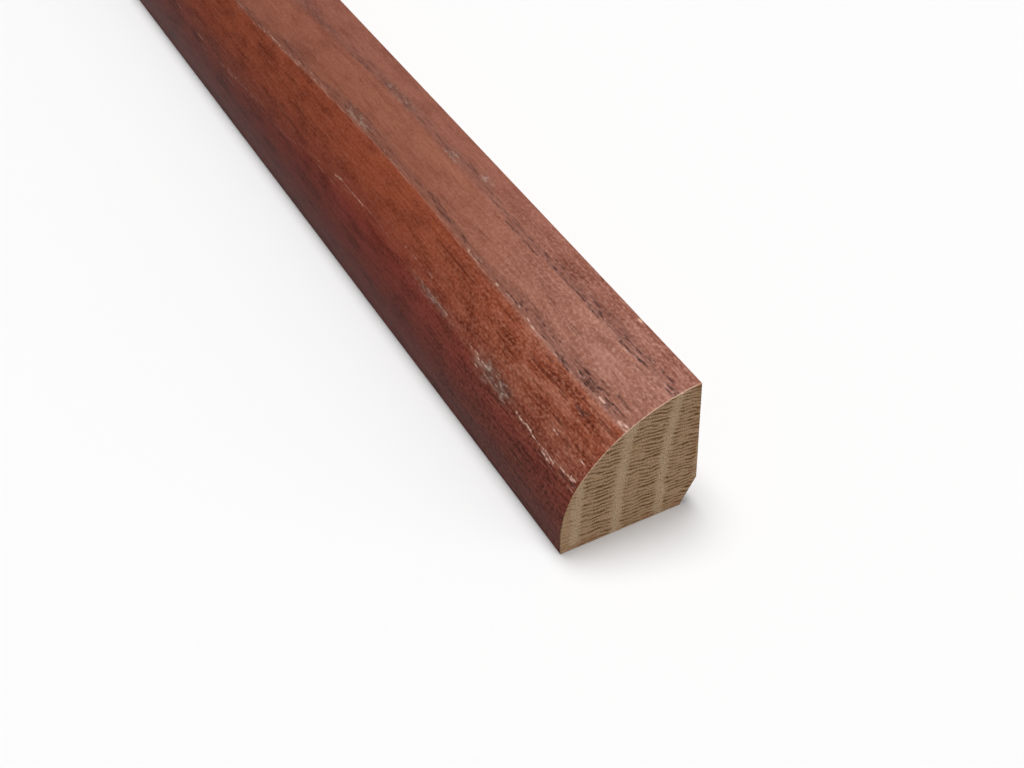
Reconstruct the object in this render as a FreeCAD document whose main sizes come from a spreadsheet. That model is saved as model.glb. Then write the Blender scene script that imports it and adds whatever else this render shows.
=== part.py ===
"""Quarter round moulding: one length of machined hardwood trim.

The stock is one solid. Its section stands on a flat base with a flat back at right angles to it. The moulded
face starts with a short upright lip at the toe, turns over on a toe arc, and runs on along a flatter crown
arc to the top edge of the back. The heel, where base and back would meet, is planed off so that it clears the
inside corner of the room. The two long edges of the moulded face are eased by sanding.

Frame: X across the section with the back at +X, Y along the stock, Z up, origin under the stock's middle.
"""

import FreeCAD, Part
import math
import os

import Sketcher

# Driving dimensions in millimetres, and one angle in degrees: alias, size, meaning.
DIMENSIONS = (
    ("stock_length", 1981.2, "length the stock is sold in"),
    ("base_width", 19.05, "width of the section, toe to back"),
    ("face_height", 19.05, "height of the section, base to top edge"),
    ("toe_lip", 2.0, "upright flat at the toe, below the toe arc"),
    ("toe_radius", 14.3, "radius of the toe arc"),
    ("toe_sweep", 41.3, "angle in degrees that the toe arc turns through before the crown arc takes over"),
    ("heel_width", 2.3, "width planed off the base at the heel"),
    ("heel_height", 3.8, "height planed off the back at the heel"),
    ("eased_radius", 0.12, "easing of the two long edges of the moulded face"),
)

NODE = "quarter_round"
EDGE_TOLERANCE = 0.001

# How a sketch numbers the ends of a line or arc, and its own axes, whose first point is the origin.
START = 1
END = 2
AXES = -1


def make_sheet(doc):
    """Spreadsheet that holds every driving dimension under its alias."""
    sheet = doc.addObject("Spreadsheet::Sheet", "dimensions")
    for row, (alias, size, meaning) in enumerate(DIMENSIONS, start=1):
        sheet.set(f"A{row}", meaning)
        sheet.set(f"B{row}", str(size))
        sheet.setAlias(f"B{row}", alias)
    doc.recompute()
    return sheet


def arc_layout(sheet):
    """Centres of the toe and crown arcs and the point where they run into each other.

    The toe arc is tangent to the lip and turns through its sweep. The crown arc carries on from there without
    a kink and ends on the top edge, which settles its radius.
    """
    toe_centre = FreeCAD.Vector(-sheet.base_width / 2 + sheet.toe_radius, sheet.toe_lip, 0)
    top_edge = FreeCAD.Vector(sheet.base_width / 2, sheet.face_height, 0)
    sweep = math.radians(sheet.toe_sweep)
    inward = FreeCAD.Vector(math.cos(sweep), -math.sin(sweep), 0)
    meeting = toe_centre - inward * sheet.toe_radius
    chord = top_edge - meeting
    crown_radius = chord.dot(chord) / (2 * chord.dot(inward))
    crown_centre = meeting + inward * crown_radius
    return toe_centre, crown_centre, meeting


def arc_between(centre, start, end):
    """Arc about a centre, running anticlockwise from one point to another."""
    angles = [math.atan2(point.y - centre.y, point.x - centre.x) for point in (start, end)]
    circle = Part.Circle(centre, FreeCAD.Vector(0, 0, 1), (start - centre).Length)
    return Part.ArcOfCircle(circle, *angles)


def draw_section(doc, body, sheet):
    """Sketch of the section on the XZ plane, every size bound to the sheet."""
    half_width = sheet.base_width / 2
    toe = FreeCAD.Vector(-half_width, 0, 0)
    lip_top = FreeCAD.Vector(-half_width, sheet.toe_lip, 0)
    top_edge = FreeCAD.Vector(half_width, sheet.face_height, 0)
    heel_back = FreeCAD.Vector(half_width, sheet.heel_height, 0)
    heel_base = FreeCAD.Vector(half_width - sheet.heel_width, 0, 0)
    toe_centre, crown_centre, meeting = arc_layout(sheet)

    section = body.newObject("Sketcher::SketchObject", "section")
    plane = [item for item in body.Origin.OriginFeatures if item.Role == "XZ_Plane"][0]
    section.AttachmentSupport = [(plane, "")]
    section.MapMode = "FlatFace"

    lip = section.addGeometry(Part.LineSegment(lip_top, toe))
    base = section.addGeometry(Part.LineSegment(toe, heel_base))
    heel = section.addGeometry(Part.LineSegment(heel_base, heel_back))
    back = section.addGeometry(Part.LineSegment(heel_back, top_edge))
    crown = section.addGeometry(arc_between(crown_centre, top_edge, meeting))
    toe_arc = section.addGeometry(arc_between(toe_centre, meeting, lip_top))

    outline = (lip, base, heel, back, crown)
    for first, second in zip(outline[:-1], outline[1:]):
        section.addConstraint(Sketcher.Constraint("Coincident", first, END, second, START))
    section.addConstraint(Sketcher.Constraint("Tangent", crown, END, toe_arc, START))
    section.addConstraint(Sketcher.Constraint("Tangent", toe_arc, END, lip, START))
    section.addConstraint(Sketcher.Constraint("Horizontal", base))
    section.addConstraint(Sketcher.Constraint("Vertical", lip))
    section.addConstraint(Sketcher.Constraint("Vertical", back))
    section.addConstraint(Sketcher.Constraint("PointOnObject", base, START, AXES))

    def size(name, expression, *geometry):
        """Adds one size and binds it to the sheet."""
        index = section.addConstraint(Sketcher.Constraint(*geometry))
        section.renameConstraint(index, name)
        section.setExpression(f"Constraints.{name}", expression)

    size("toe_side", "dimensions.base_width / 2", "DistanceX", base, START, AXES, START, half_width)
    size("back_side", "dimensions.base_width / 2", "DistanceX", AXES, START, back, START, half_width)
    size("lip_height", "dimensions.toe_lip", "DistanceY", lip, END, lip, START, sheet.toe_lip)
    size("top_height", "dimensions.face_height", "DistanceY", AXES, START, back, END, sheet.face_height)
    size("heel_across", "dimensions.heel_width", "DistanceX", heel, START, heel, END, sheet.heel_width)
    size("heel_up", "dimensions.heel_height", "DistanceY", heel, START, heel, END, sheet.heel_height)
    size("toe_turn", "dimensions.toe_radius", "Radius", toe_arc, sheet.toe_radius)
    size("toe_span", "dimensions.toe_sweep * 1 deg", "Angle", toe_arc, math.radians(sheet.toe_sweep))
    doc.recompute()
    return section


def long_edges_at(shape, places):
    """Names of the edges that run along the stock through the given (x, z) places."""
    names = []
    for number, edge in enumerate(shape.Edges, start=1):
        ends = [vertex.Point for vertex in edge.Vertexes]
        runs_along = len(ends) == 2 and abs(ends[0].y - ends[1].y) > EDGE_TOLERANCE
        for x, z in places:
            if runs_along and all(math.hypot(p.x - x, p.z - z) < EDGE_TOLERANCE for p in ends):
                names.append(f"Edge{number}")
    return names


def make_moulding(doc, sheet):
    """The stock: the section run along its length, with the moulded face's two long edges eased."""
    body = doc.addObject("PartDesign::Body", "moulding")
    body.Label = NODE
    section = draw_section(doc, body, sheet)

    run = body.newObject("PartDesign::Pad", "run")
    run.Profile = section
    run.SideType = "Symmetric"
    run.setExpression("Length", "dimensions.stock_length")
    doc.recompute()

    toe_place = (-sheet.base_width / 2, 0)
    top_place = (sheet.base_width / 2, sheet.face_height)
    eased = body.newObject("PartDesign::Fillet", "eased_edges")
    eased.Base = (run, long_edges_at(run.Shape, (toe_place, top_place)))
    eased.setExpression("Radius", "dimensions.eased_radius")
    doc.recompute()
    return body


def check(doc, bodies):
    """Stops before anything is written if a feature failed or a shape isn't one valid solid."""
    for item in doc.Objects:
        if "Invalid" in item.State or "Error" in item.State:
            raise RuntimeError(f"{item.Name} failed: {item.State}")
    for body in bodies:
        shape = body.Shape
        if shape.isNull() or not shape.isValid() or len(shape.Solids) != 1:
            raise RuntimeError(f"{body.Label} isn't one valid solid")


def main():
    doc = FreeCAD.newDocument("quarter_round_moulding")
    sheet = make_sheet(doc)
    bodies = [make_moulding(doc, sheet)]
    doc.recompute()
    check(doc, bodies)
    os.makedirs("parts", exist_ok=True)
    for body in bodies:
        body.Shape.exportStep(os.path.join("parts", f"{body.Label}.step"))
        box = body.Shape.BoundBox
        print(f"{body.Label}: {box.XLength:.2f} x {box.YLength:.2f} x {box.ZLength:.2f} mm,"
              f" volume {body.Shape.Volume / 1000:.1f} cm3, {len(body.Shape.Faces)} faces")


main()
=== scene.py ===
"""Dressed scene of a quarter round moulding: one length of stained oak trim on a pale studio floor.

The stock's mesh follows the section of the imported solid, with fine stations near the sawn end that faces the
camera. The oak is one solid texture: growth rings, vessels and fibres are worked out in the volume, so the
bands on the sawn end run on as the streaks of the moulded face.
"""

import logging
import math
from dataclasses import dataclass, replace
from enum import Enum
from functools import partial
from typing import Any, Callable, Iterator, Sequence

import bpy
import numpy as np
from mathutils import Matrix, Vector

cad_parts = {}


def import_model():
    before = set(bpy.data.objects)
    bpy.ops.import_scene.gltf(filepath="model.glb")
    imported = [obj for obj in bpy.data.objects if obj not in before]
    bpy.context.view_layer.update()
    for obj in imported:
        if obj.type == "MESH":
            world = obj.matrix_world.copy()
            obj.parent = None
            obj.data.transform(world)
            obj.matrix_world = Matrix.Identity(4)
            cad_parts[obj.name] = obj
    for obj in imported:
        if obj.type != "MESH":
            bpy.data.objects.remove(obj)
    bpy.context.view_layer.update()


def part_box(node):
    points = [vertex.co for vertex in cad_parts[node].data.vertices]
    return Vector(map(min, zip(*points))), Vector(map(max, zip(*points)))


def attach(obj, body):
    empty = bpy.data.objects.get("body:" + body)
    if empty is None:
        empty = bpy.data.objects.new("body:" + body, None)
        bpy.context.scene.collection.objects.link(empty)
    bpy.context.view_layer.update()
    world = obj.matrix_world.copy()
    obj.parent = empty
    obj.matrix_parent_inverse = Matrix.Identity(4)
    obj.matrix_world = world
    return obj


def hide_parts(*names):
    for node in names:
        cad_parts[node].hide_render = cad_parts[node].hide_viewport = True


LOG = logging.getLogger("moulding")
NODE = "quarter_round"
BODY = "root"
MM = 0.001

Colour = tuple[float, float, float]
Field = Any


def linear(colour: Colour) -> tuple[float, float, float, float]:
    """Turns a display colour of 0 to 255 into the linear colour that a socket takes.

    Args:
        colour: Red, green and blue as they look on a display.

    Returns:
        The linear colour with an alpha of 1.
    """
    shares = [channel / 255 for channel in colour]
    parts = [share / 12.92 if share <= 0.04045 else ((share + 0.055) / 1.055) ** 2.4 for share in shares]
    return parts[0], parts[1], parts[2], 1.0


@dataclass(frozen=True)
class Ramp:
    """A smooth change of one value with another.

    Attributes:
        start: Reading where the change starts. It may lie above the end.
        end: Reading where it ends.
        first: Value before the start.
        last: Value past the end.
    """

    start: float
    end: float
    first: float = 0.0
    last: float = 1.0

    def moved(self, place: float) -> "Ramp":
        """The same change, counted from another place."""
        return replace(self, start=place + self.start, end=place + self.end)


class Wire:
    """One output of a shader node, whose value maths is written with Python's operators."""

    def __init__(self, graph: "NodeGraph", socket: bpy.types.NodeSocket) -> None:
        """Keeps the graph that the socket belongs to."""
        self.graph = graph
        self.socket = socket

    def maths(self, operation: str, *values: Any) -> "Wire":
        """Adds a Math node.

        Args:
            operation: The Math node's operation.
            values: Its inputs in order, wires or numbers.

        Returns:
            The node's result.
        """
        inputs = dict(enumerate(values))
        return self.graph.wire("ShaderNodeMath", {"operation": operation}, inputs)

    def __add__(self, other: Any) -> "Wire":
        """Sum."""
        return self.maths("ADD", self, other)

    def __radd__(self, other: Any) -> "Wire":
        """Sum with a number in front."""
        return self.maths("ADD", other, self)

    def __sub__(self, other: Any) -> "Wire":
        """Difference."""
        return self.maths("SUBTRACT", self, other)

    def __rsub__(self, other: Any) -> "Wire":
        """Difference from a number in front."""
        return self.maths("SUBTRACT", other, self)

    def __mul__(self, other: Any) -> "Wire":
        """Product."""
        return self.maths("MULTIPLY", self, other)

    def __rmul__(self, other: Any) -> "Wire":
        """Product with a number in front."""
        return self.maths("MULTIPLY", other, self)

    def __truediv__(self, other: Any) -> "Wire":
        """Quotient."""
        return self.maths("DIVIDE", self, other)

    def __abs__(self) -> "Wire":
        """Size without sign."""
        return self.maths("ABSOLUTE", self)

    def cosine(self) -> "Wire":
        """Cosine of an angle in radians."""
        return self.maths("COSINE", self)

    def part(self) -> "Wire":
        """What is left above the whole number below."""
        return self.maths("FRACT", self)

    def most(self, other: Any) -> "Wire":
        """The larger of two values."""
        return self.maths("MAXIMUM", self, other)

    def shift(self, reach: float) -> "Wire":
        """Noise of 0 to 1 as a shift to either side, half the reach at most."""
        return (self - 0.5) * reach

    def ramp(self, ramp: Ramp) -> "Wire":
        """A value that changes smoothly with this one.

        Args:
            ramp: The change.

        Returns:
            The value.
        """
        low, high = (ramp.start, ramp.first), (ramp.end, ramp.last)
        if ramp.start > ramp.end:
            low, high = high, low
        inputs = {0: self, 1: low[0], 2: high[0], 3: low[1], 4: high[1]}
        return self.graph.wire("ShaderNodeMapRange", {"interpolation_type": "SMOOTHSTEP"}, inputs)


class NodeGraph:
    """A node tree that is filled by plain calls."""

    def __init__(self, tree: bpy.types.NodeTree) -> None:
        """Empties the tree."""
        self.tree = tree
        tree.nodes.clear()

    def node(self, kind: str, settings: dict[str, Any] | None = None,
             inputs: dict[int | str, Any] | None = None) -> bpy.types.Node:
        """Adds one node.

        Args:
            kind: The node's type.
            settings: Its properties, set first.
            inputs: Values or wires for its sockets, by name or number.

        Returns:
            The node.
        """
        made = self.tree.nodes.new(kind)
        for name, value in (settings or {}).items():
            setattr(made, name, value)
        for key, value in (inputs or {}).items():
            if isinstance(value, Wire):
                self.tree.links.new(value.socket, made.inputs[key])
            else:
                made.inputs[key].default_value = value
        return made

    def wire(self, kind: str, settings: dict[str, Any] | None = None,
             inputs: dict[int | str, Any] | None = None, output: int | str = 0) -> Wire:
        """Adds one node and takes one of its outputs.

        Args:
            kind: The node's type.
            settings: As for node.
            inputs: As for node.
            output: Which output, by name or number.

        Returns:
            The output.
        """
        return Wire(self, self.node(kind, settings, inputs).outputs[output])

    def blend(self, share: Any, first: Any, second: Any) -> Wire:
        """Mixes two colours.

        Args:
            share: How much of the second colour, wire or number.
            first: Wire or display colour.
            second: Wire or display colour.

        Returns:
            The mixed colour.
        """
        colours = [item if isinstance(item, Wire) else linear(item) for item in (first, second)]
        inputs = {0: share, 6: colours[0], 7: colours[1]}
        return self.wire("ShaderNodeMix", {"data_type": "RGBA"}, inputs, output=2)

    def point(self, x: Any, y: Any, z: Any) -> Wire:
        """Vector of three values."""
        return self.wire("ShaderNodeCombineXYZ", None, {0: x, 1: y, 2: z})

    def field(self, name: str) -> Wire:
        """A field of values that the mesh carries."""
        return self.wire("ShaderNodeAttribute", {"attribute_name": name}, output="Fac")

    def noise(self, place: Wire, detail: float = 2.0, roughness: float = 0.5) -> Wire:
        """Smooth noise of 0 to 1.

        Args:
            place: Where it is read, in units of its largest lumps.
            detail: How many finer layers it has.
            roughness: How strong each finer layer is.

        Returns:
            The noise value.
        """
        inputs = {"Vector": place, "Scale": 1.0, "Detail": detail, "Roughness": roughness}
        return self.wire("ShaderNodeTexNoise", None, inputs)


@dataclass(frozen=True)
class Stretch:
    """One stretch of the section's outline, straight or round, in millimetres from toe and base."""

    spacing: float

    def length(self) -> float:
        """Length of the stretch."""
        raise NotImplementedError

    def at(self, share: np.ndarray) -> tuple[np.ndarray, np.ndarray]:
        """Points and outward normals at shares of the stretch."""
        raise NotImplementedError

    def samples(self) -> tuple[np.ndarray, np.ndarray, np.ndarray]:
        """Evenly spaced samples, without the stretch's last point.

        Returns:
            Points, outward normals, and the girth of each point from the stretch's start.
        """
        count = max(2, round(self.length() / self.spacing))
        share = np.arange(count) / count
        points, normals = self.at(share)
        return points, normals, share * self.length()


@dataclass(frozen=True)
class Flat(Stretch):
    """Straight stretch, with the wood on its right hand."""

    start: tuple[float, float]
    end: tuple[float, float]

    def length(self) -> float:
        """Distance from start to end."""
        return math.dist(self.start, self.end)

    def at(self, share: np.ndarray) -> tuple[np.ndarray, np.ndarray]:
        """Points along the line and its one normal."""
        start, end = np.array(self.start), np.array(self.end)
        run = end - start
        normal = np.array([-run[1], run[0]]) / self.length()
        return start + share[:, None] * run, np.tile(normal, (len(share), 1))


@dataclass(frozen=True)
class Round(Stretch):
    """Round stretch about a centre, from one angle to another in radians, clockwise."""

    centre: tuple[float, float]
    radius: float
    first: float
    last: float

    def length(self) -> float:
        """Arc length."""
        return self.radius * (self.first - self.last)

    def at(self, share: np.ndarray) -> tuple[np.ndarray, np.ndarray]:
        """Points on the arc and the normals that point away from its centre."""
        angle = self.first + share * (self.last - self.first)
        normals = np.stack([np.cos(angle), np.sin(angle)], axis=1)
        return np.array(self.centre) + self.radius * normals, normals


@dataclass(frozen=True)
class Section:
    """The moulding's section, in millimetres from the toe and the base."""

    width: float
    height: float = 19.05
    toe_lip: float = 2.0
    toe_radius: float = 14.3
    toe_sweep: float = math.radians(41.3)
    heel_width: float = 2.3
    heel_height: float = 3.8
    eased_radius: float = 0.12
    face_spacing: float = 0.115
    plain_spacing: float = 1.2
    eased_spacing: float = 0.04
    face_stretches: int = 4

    def stretches(self) -> list[Stretch]:
        """The outline, clockwise from the bottom of the lip: face, back, heel, base and eased toe."""
        ease = self.eased_radius
        toe_centre = (self.toe_radius, self.toe_lip)
        inward = np.array([math.cos(self.toe_sweep), -math.sin(self.toe_sweep)])
        meeting = np.array(toe_centre) - inward * self.toe_radius
        chord = np.array([self.width, self.height]) - meeting
        crown_radius = float(chord @ chord / (2 * chord @ inward))
        crown_centre = meeting + inward * crown_radius
        ease_x = self.width - ease
        reach = crown_radius - ease
        ease_z = crown_centre[1] + math.sqrt(reach**2 - (ease_x - crown_centre[0]) ** 2)
        ease_angle = math.atan2(ease_z - crown_centre[1], ease_x - crown_centre[0])
        crown = (float(crown_centre[0]), float(crown_centre[1]))
        fine, plain, eased = self.face_spacing, self.plain_spacing, self.eased_spacing
        return [
            Flat(fine, (0, ease), (0, self.toe_lip)),
            Round(fine, toe_centre, self.toe_radius, math.pi, math.pi - self.toe_sweep),
            Round(fine, crown, crown_radius, math.pi - self.toe_sweep, ease_angle),
            Round(eased, (ease_x, ease_z), ease, ease_angle, 0.0),
            Flat(plain, (self.width, ease_z), (self.width, self.heel_height)),
            Flat(plain, (self.width, self.heel_height), (self.width - self.heel_width, 0)),
            Flat(plain, (self.width - self.heel_width, 0), (ease, 0)),
            Round(eased, (ease, ease), ease, -math.pi / 2, -math.pi),
        ]

    def outline(self) -> "Outline":
        """Samples of the whole outline."""
        points, normals, girths, faces = [], [], [], []
        total = 0.0
        for number, stretch in enumerate(self.stretches()):
            place, normal, girth = stretch.samples()
            points.append(place)
            normals.append(normal)
            girths.append(girth + total)
            faces.append(np.full(len(place), number < self.face_stretches))
            total += stretch.length()
        joined = [np.concatenate(items) for items in (points, normals, girths, faces)]
        return Outline(*joined, total)


@dataclass(frozen=True)
class Outline:
    """Sampled outline: points, outward normals, girth from the lip, and which points are the moulded face."""

    points: np.ndarray
    normals: np.ndarray
    girth: np.ndarray
    on_face: np.ndarray
    total: float


class Ring(Enum):
    """The growth rings that the moulded face cuts, from the toe up."""

    TOE = 0
    CROWN = 1
    TOP = 2


@dataclass(frozen=True)
class Wave:
    """One slow wave of the growth rings along the stock, in millimetres.

    Attributes:
        height: How far it shifts the rings.
        crest: Where its crest lies along the toe.
        length: From crest to crest.
        skew: How far the crest moves along for each millimetre from the toe.
    """

    height: float
    crest: float
    length: float
    skew: float


@dataclass(frozen=True)
class Grain:
    """Where the growth rings lie in the stock, in millimetres from toe, near end and base."""

    lean: float = 0.032
    bow: float = 0.0051
    first_line: float = 1.87
    ring_width: float = 5.168
    waves: tuple[Wave, ...] = (
        Wave(0.63, -125.0, 240.0, 8.0),
        Wave(0.90, -11.2, 240.0, 2.34),
        Wave(0.77, 52.1, 130.7, 2.39),
    )

    def ring_place(self, across: Field, along: Field, up: Field, cosine: Callable[[Field], Field]) -> Field:
        """Distance square to the rings, for arrays or wires.

        Args:
            across: Distance from the toe.
            along: Distance from the near end.
            up: Height above the base.
            cosine: The cosine that suits the kind of value.

        Returns:
            The distance, counted from the ring through the toe.
        """
        place = across - up * self.lean - up * up * self.bow
        for wave in self.waves:
            front = along - across * wave.skew - wave.crest
            place = place - cosine(front * (2 * math.pi / wave.length)) * wave.height
        return place

    def ray_place(self, across: Wire, up: Wire) -> Wire:
        """Distance along the rings in the section, which counts the rays that cross them."""
        return up + across * (up * (2 * self.bow) + self.lean)

    def line(self, ring: Ring) -> float:
        """Place of a ring's line, where its vessels start."""
        return self.first_line + ring.value * self.ring_width


@dataclass(frozen=True)
class Mark:
    """One mark of wear on the moulded face, in millimetres.

    Attributes:
        along: Distance from the near end.
        girth: Place over the face, from the lip.
        length: Size along the stock.
        width: Size over the face.
        depth: How deep it goes.
        bare: How much raw wood it shows, from 0 to 1.
        smoke: How grey it is rubbed, from 0 to 1.
    """

    along: float
    girth: float
    length: float
    width: float
    depth: float
    bare: float
    smoke: float


class FaceMark(Enum):
    """The marks that the moulded face carries near its sawn end."""

    EDGE_NICK = Mark(13.3, 29.6, 1.3, 0.5, 0.14, 0.9, 0.0)
    CORNER_CHIP = Mark(0.0, 27.2, 0.5, 0.5, 0.16, 0.9, 0.0)
    PALE_SPECK = Mark(31.8, 19.0, 1.1, 0.35, 0.05, 0.8, 0.0)
    SCUFF_START = Mark(19.2, 10.7, 3.6, 1.9, 0.04, 0.0, 0.9)
    SCUFF_END = Mark(23.0, 10.8, 5.4, 2.2, 0.04, 0.0, 0.75)
    RUBBED_STREAK = Mark(39.0, 11.1, 9.0, 1.0, 0.02, 0.0, 0.4)
    SMOKY_CROWN = Mark(76.0, 19.5, 9.0, 1.2, 0.0, 0.0, 0.6)
    SMOKY_TOP = Mark(75.0, 26.2, 10.0, 1.2, 0.0, 0.0, 0.4)
    TOP_SMUDGE = Mark(49.2, 27.4, 2.4, 1.2, 0.0, 0.0, 0.5)
    TOP_SMEAR = Mark(57.2, 26.1, 3.0, 1.2, 0.0, 0.0, 0.5)


class Wear(Enum):
    """How the face is worn, by the name of the mesh's field that carries it."""

    BARE = "bare"
    SMOKE = "smoke"


class Fill(Enum):
    """What an open vessel holds, by the name of the mesh's field that carries it."""

    DARK = "dark_grain"
    DRY = "dry_grain"
    RED = "red_grain"

    @property
    def breadth(self) -> float:
        """How broad its vessels are beside dark ones: stain spreads from red ones."""
        return 1.1 if self is Fill.RED else 1.0

    @property
    def stretch(self) -> float:
        """How long its vessels are beside dark ones."""
        return 3.0 if self is Fill.RED else 1.0


@dataclass(frozen=True)
class VesselRun:
    """A run of open vessels beside one ring's line, in millimetres.

    Attributes:
        fill: What the vessels hold.
        first: Where it starts, from the near end.
        last: Where it stops.
        lift: Its girth above the ring's line.
        rows: How many vessels lie beside each other.
        strength: How open they are, from 0 to 1.
    """

    fill: Fill
    first: float
    last: float
    lift: float
    rows: int
    strength: float = 1.0


dark_run = partial(VesselRun, Fill.DARK)
dry_run = partial(VesselRun, Fill.DRY)
red_run = partial(VesselRun, Fill.RED)

TOE_RUNS = (
    dry_run(0.0, 2.1, -0.5, 1, 0.5),
    dry_run(0.9, 2.7, 0.55, 2),
    dry_run(2.9, 4.5, 0.4, 1),
    dry_run(4.5, 6.6, 0.35, 1, 0.45),
    dry_run(5.3, 8.4, -0.35, 2),
    dry_run(8.6, 15.2, -0.15, 1, 0.9),
    dry_run(15.0, 17.6, -0.1, 1, 0.35),
    dry_run(1.3, 2.4, 2.85, 1, 0.7),
    dry_run(2.4, 5.2, 2.7, 1, 0.4),
    dry_run(7.2, 9.2, 2.7, 1, 0.5),
    dark_run(2.4, 4.2, -0.1, 2, 0.8),
    dark_run(0.2, 2.4, 0.05, 1, 0.8),
    dark_run(5.4, 8.8, -0.8, 1, 0.6),
    red_run(7.6, 10.4, 3.6, 1, 0.8),
    dry_run(17.4, 19.8, -0.75, 1, 0.4),
    dry_run(18.2, 20.6, 0.2, 1, 0.35),
    dry_run(20.6, 24.2, 0.45, 1, 0.5),
    dry_run(22.8, 24.8, -0.7, 1, 0.3),
    dry_run(23.6, 26.4, 0.1, 1, 0.9),
    dark_run(17.6, 20.4, 0.6, 2, 0.6),
    dark_run(20.0, 23.6, -0.25, 2, 0.55),
    dry_run(26.0, 29.6, 0.1, 1, 0.5),
    dry_run(25.4, 27.6, -0.95, 1, 0.5),
    dry_run(32.6, 40.4, 0.5, 1, 0.4),
    dry_run(35.0, 43.5, -0.15, 2, 0.45),
    dark_run(36.0, 43.0, -0.4, 2, 0.5),
    dry_run(41.0, 50.2, 1.4, 1, 0.4),
    dry_run(53.8, 62.4, 0.4, 1, 0.4),
    dry_run(62.0, 72.4, 0.3, 1, 0.7),
    dry_run(76.0, 86.0, -0.2, 1, 0.35),
    dry_run(87.0, 97.0, -0.9, 1, 0.5),
    dry_run(90.0, 97.5, 1.4, 1, 0.4),
    dry_run(99.0, 112.0, -0.2, 2, 0.4),
)
CROWN_RUNS = (
    red_run(10.0, 19.6, -2.6, 2, 0.8),
    red_run(0.0, 7.2, -1.6, 2, 0.7),
    red_run(2.0, 8.4, -3.3, 1, 0.5),
    red_run(24.6, 30.0, -1.35, 1, 0.8),
    red_run(19.0, 27.0, -4.2, 1, 0.5),
    red_run(34.0, 46.0, -2.4, 2, 0.6),
    dry_run(0.0, 2.2, -0.1, 2, 0.75),
    dark_run(1.8, 4.7, 0.8, 1),
    dark_run(3.3, 6.3, 0.45, 2),
    dry_run(5.4, 7.1, 0.4, 1, 0.8),
    dark_run(4.8, 6.8, 0.1, 1),
    dark_run(3.6, 5.8, 1.95, 1, 0.8),
    dark_run(5.6, 7.6, 1.15, 1, 0.8),
    dark_run(2.2, 3.8, 1.6, 1, 0.6),
    dark_run(6.6, 8.8, 1.7, 1, 0.55),
    dark_run(6.0, 8.2, -2.4, 2, 0.75),
    dark_run(7.4, 12.0, 0.65, 3),
    dark_run(7.8, 12.2, 0.25, 2, 0.8),
    dry_run(7.0, 12.0, -0.05, 1, 0.3),
    dark_run(13.2, 15.6, -0.25, 2, 0.8),
    dry_run(14.8, 17.0, -0.3, 1, 0.3),
    dark_run(14.8, 16.8, 0.15, 2, 0.8),
    red_run(15.6, 17.8, -1.15, 1, 0.9),
    dark_run(17.0, 22.2, 1.0, 1, 0.7),
    dark_run(18.8, 20.4, 0.15, 1, 0.8),
    dry_run(21.8, 24.2, -0.1, 1, 0.65),
    dark_run(24.8, 27.0, 0.7, 2, 0.8),
    dark_run(25.8, 29.8, 0.25, 1, 0.9),
    dry_run(25.6, 30.2, 0.1, 1, 0.4),
    dark_run(36.6, 39.2, 0.2, 1, 0.8),
    dry_run(37.0, 40.8, 0.0, 2, 0.6),
    dark_run(41.0, 48.0, 0.45, 2, 0.8),
    dry_run(42.0, 48.4, 0.0, 1, 0.3),
    dark_run(48.0, 54.4, 0.6, 3, 0.9),
    dark_run(55.4, 61.0, 0.5, 2, 0.6),
    dry_run(61.5, 76.5, -0.1, 1, 0.4),
    dark_run(71.5, 80.4, 0.7, 4, 0.8),
    dry_run(86.5, 112.0, -0.1, 2, 0.45),
    dark_run(94.0, 104.0, 0.6, 2, 0.5),
)
TOP_RUNS = (
    dark_run(0.0, 2.5, 0.0, 3),
    dark_run(1.7, 4.6, 0.85, 1),
    dark_run(6.0, 7.8, 0.85, 2, 0.8),
    dark_run(6.4, 7.8, 0.0, 1),
    dark_run(7.5, 12.6, -0.3, 2, 0.9),
    dark_run(8.0, 12.8, 0.5, 1, 0.9),
    dry_run(8.4, 12.2, -0.55, 1, 0.4),
    dark_run(14.8, 17.2, 0.2, 1, 0.6),
    dark_run(17.2, 19.8, -0.1, 2),
    dark_run(17.4, 20.2, 0.55, 1, 0.8),
    dark_run(20.8, 24.4, 0.1, 2, 0.9),
    dark_run(24.0, 29.6, 0.75, 1, 0.8),
    dark_run(24.6, 30.0, 0.0, 1, 0.9),
    dark_run(30.0, 36.2, 0.4, 1, 0.7),
    dark_run(32.0, 41.6, -0.5, 1, 0.9),
    dark_run(36.8, 43.2, 0.3, 1, 0.8),
    dark_run(43.8, 47.2, 0.7, 1, 0.9),
    dark_run(51.0, 54.2, 1.0, 2, 0.8),
    dark_run(56.8, 61.2, 0.1, 2, 0.6),
    dark_run(69.5, 79.4, 0.45, 3, 0.7),
    dark_run(83.6, 90.4, 0.0, 3, 0.7),
    dark_run(95.5, 103.0, 0.4, 2, 0.7),
)


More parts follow.
